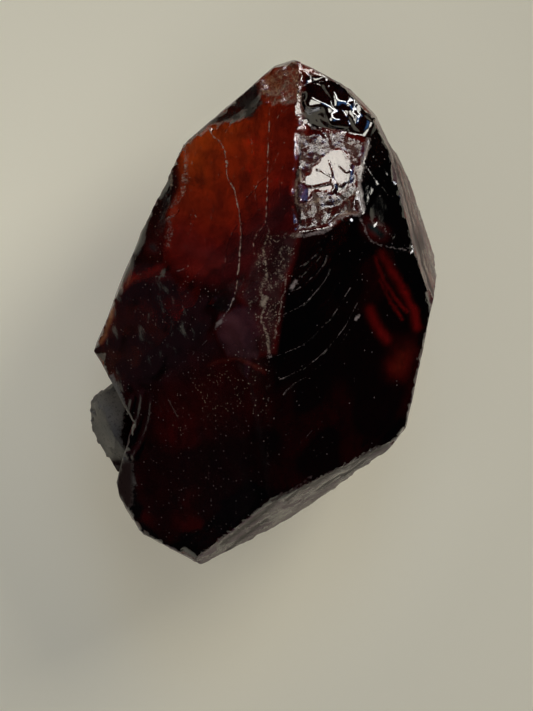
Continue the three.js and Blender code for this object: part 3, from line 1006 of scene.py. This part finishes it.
# %% Garnet material
def garnet_material():
    material = bpy.data.materials.new("garnet")
    nodes = Nodes(material)
    in_mm = nodes.in_mm()
    grain = nodes.add("TexNoise", {}, {"Vector": in_mm, "Scale": 7.0, "Detail": 3.0, "Roughness": 0.65})
    fine = nodes.add("TexNoise", {}, {"Vector": in_mm, "Scale": 16.0, "Detail": 2.0, "Roughness": 0.6})
    cloud = nodes.add("TexNoise", {}, {"Vector": in_mm, "Scale": 1.1, "Detail": 6.0, "Roughness": 0.65})
    relief = 0.15 * grain + mask(nodes, "hackle") * (grain + 0.5 * fine)
    glass = clear_garnet(nodes, in_mm, cloud, relief)
    under = matt(nodes, painted(nodes, "veil_and_painted_light_colour"), roughness=0.35, gloss=0.3)
    powder_and_painted_shade = matt(nodes, painted(nodes, "powder_and_painted_shade_colour"), roughness=0.5, gloss=0.25)
    hidden = mask(nodes, "veil_and_painted_light") * (0.35 + cloud.between(0.38, 0.6) * 0.65)
    veiled = nodes.add("MixShader", {}, {0: hidden, 1: glass, 2: under})
    surface = nodes.add("MixShader", {}, {0: cover(nodes, in_mm, grain, fine), 1: veiled, 2: powder_and_painted_shade})
    body = nodes.add("VolumeAbsorption", {}, {"Color": (*ABSORPTION, 1), "Density": DENSITY})
    nodes.add("OutputMaterial", {}, {"Surface": surface, "Volume": body}, output=None)
    return material


stone.data.materials.append(garnet_material())
print("nodes in the garnet:", len(stone.data.materials[0].node_tree.nodes))

# %% [markdown]
# ## The light table
#
# The floor is a pale sheet of glowing acrylic, as under small gems: it gives some light of its own, so
# light comes up through the thin part of the stone.

# %% Floor
FLOOR_HALF = 1500  # mm
FLOOR_DROP = 0.02  # mm, so that the two faces don't touch
FLOOR_COLOUR = (0.78, 0.735, 0.585)
FLOOR_GLOW = 0.405
BRIGHTEST = (-12, 3)  # the glow is strongest here and fades slowly away from it
FADE_PER_MM = 0.016
LEAST_SHARE = 0.6  # of the glow, far away


def floor_material():
    material = bpy.data.materials.new("pale acrylic")
    nodes = Nodes(material)
    away = nodes.add("VectorMath", {"operation": "DISTANCE"}, {0: nodes.in_mm(), 1: (*BRIGHTEST, 0)}, 1)
    share = 1 - away * FADE_PER_MM
    glow = nodes.blend(share.math("MAXIMUM", share, LEAST_SHARE), BLACK, (*FLOOR_COLOUR, 1))
    sheet = nodes.add(
        "BsdfPrincipled",
        {},
        {
            "Base Color": (*FLOOR_COLOUR, 1),
            "Roughness": 0.9,
            "Specular IOR Level": 0.1,
            "Emission Color": glow,
            "Emission Strength": FLOOR_GLOW,
        },
    )
    nodes.add("OutputMaterial", {}, {"Surface": sheet}, output=None)
    return material


bpy.ops.object.select_all(action="DESELECT")
bpy.ops.mesh.primitive_plane_add(size=2 * FLOOR_HALF * MM, location=(0, 0, -FLOOR_DROP * MM))
floor = bpy.context.object
floor.name = "floor"
bpy.ops.object.transform_apply(location=True, rotation=True, scale=True)
floor.data.materials.append(floor_material())
print("the floor's side in mm:", 2 * FLOOR_HALF)

# %% [markdown]
# ## Light
#
# Glossy dark facets show what they mirror, so each light has a bearing and a height over the stone, and the
# directions that the big facets mirror are left dark.

# %% Lights
LIGHT_DISTANCE = 300  # mm


def softbox(name, bearing, height, across, radiance, colour=(1, 1, 1), tall=None):
    """A light that faces the stone, given by its direction and size in degrees: a disc, or a strip if tall is given."""

    def width(degrees):
        return 2 * LIGHT_DISTANCE * MM * math.tan(math.radians(degrees / 2))

    data = bpy.data.lights.new(name, "AREA")
    data.shape = "RECTANGLE" if tall else "DISK"
    data.size = width(across)
    data.size_y = width(tall or across)
    data.energy = radiance * math.pi * data.size * data.size_y * (1 if tall else math.pi / 4)
    data.color = colour
    light = bpy.data.objects.new(name, data)
    bpy.context.collection.objects.link(light)
    a, e = math.radians(bearing), math.radians(height)
    away = Vector((math.cos(a) * math.cos(e), math.sin(a) * math.cos(e), math.sin(e)))
    light.location = away * LIGHT_DISTANCE * MM
    light.rotation_euler = away.to_track_quat("Z", "Y").to_euler()
    light.visible_camera = False
    return light


for turn in range(4):
    softbox(f"ring {turn + 1}", 90 * turn, 65, 26, 0.72).visible_glossy = False
softbox("tip light", 43, 32, 24, 7.8, (1.0, 0.97, 0.88))
softbox("tip strip", 50, 56, 50, 18.0, (1.0, 0.97, 0.92), tall=8).visible_diffuse = False
print("lights:", len(bpy.data.lights))

# %% [markdown]
# The table is finite and the stone mirrors what is round it, so the world holds a dark room above the horizon
# and the table's own colour below it. A few dim patches stand for a window and for coloured things nearby.

# %% World
TABLE_FAR = (0.202, 0.2, 0.176)
ROOM = (0.008, 0.007, 0.008)
PATCHES = [
    # bearing and height of the middle, half width, all in degrees, and colour
    (-172, 9, 22, (0.055, 0.024, 0.032)),
    (80, 46, 15, (0.2, 0.65, 1.6)),
    (135, 35, 25, (0.022, 0.013, 0.016)),
    (-131, 82, 10, (0.06, 0.03, 0.05)),
]


def studio_world():
    """A dark room above a pale table, with a few dim coloured patches on its walls."""
    world = bpy.data.worlds.new("studio")
    bpy.context.scene.world = world
    nodes = Nodes(world)
    direction = nodes.add("TexCoord", output=0)
    height = nodes.add("SeparateXYZ", {}, {0: direction}, output=2)
    above = height.between(0.004, 0.03)
    colour = nodes.blend(above, (*TABLE_FAR, 1), (*ROOM, 1))
    for bearing, rise, reach, patch in PATCHES:
        a, e = math.radians(bearing), math.radians(rise)
        axis = (math.cos(a) * math.cos(e), math.sin(a) * math.cos(e), math.sin(e))
        facing = nodes.add("VectorMath", {"operation": "DOT_PRODUCT"}, {0: direction, 1: axis}, output=1)
        share = facing.between(math.cos(math.radians(reach)), math.cos(math.radians(reach / 2)))
        colour = nodes.blend(share * above, colour, (*patch, 1))
    glow = nodes.add("Background", {}, {"Color": colour, "Strength": 1.0})
    nodes.add("OutputWorld", {}, {"Surface": glow}, output=None)
    return world


studio_world()
print("patches in the room:", len(PATCHES))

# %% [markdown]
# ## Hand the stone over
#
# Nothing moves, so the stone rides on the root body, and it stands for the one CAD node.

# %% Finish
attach(stone, "root")
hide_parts("garnet_crystal")
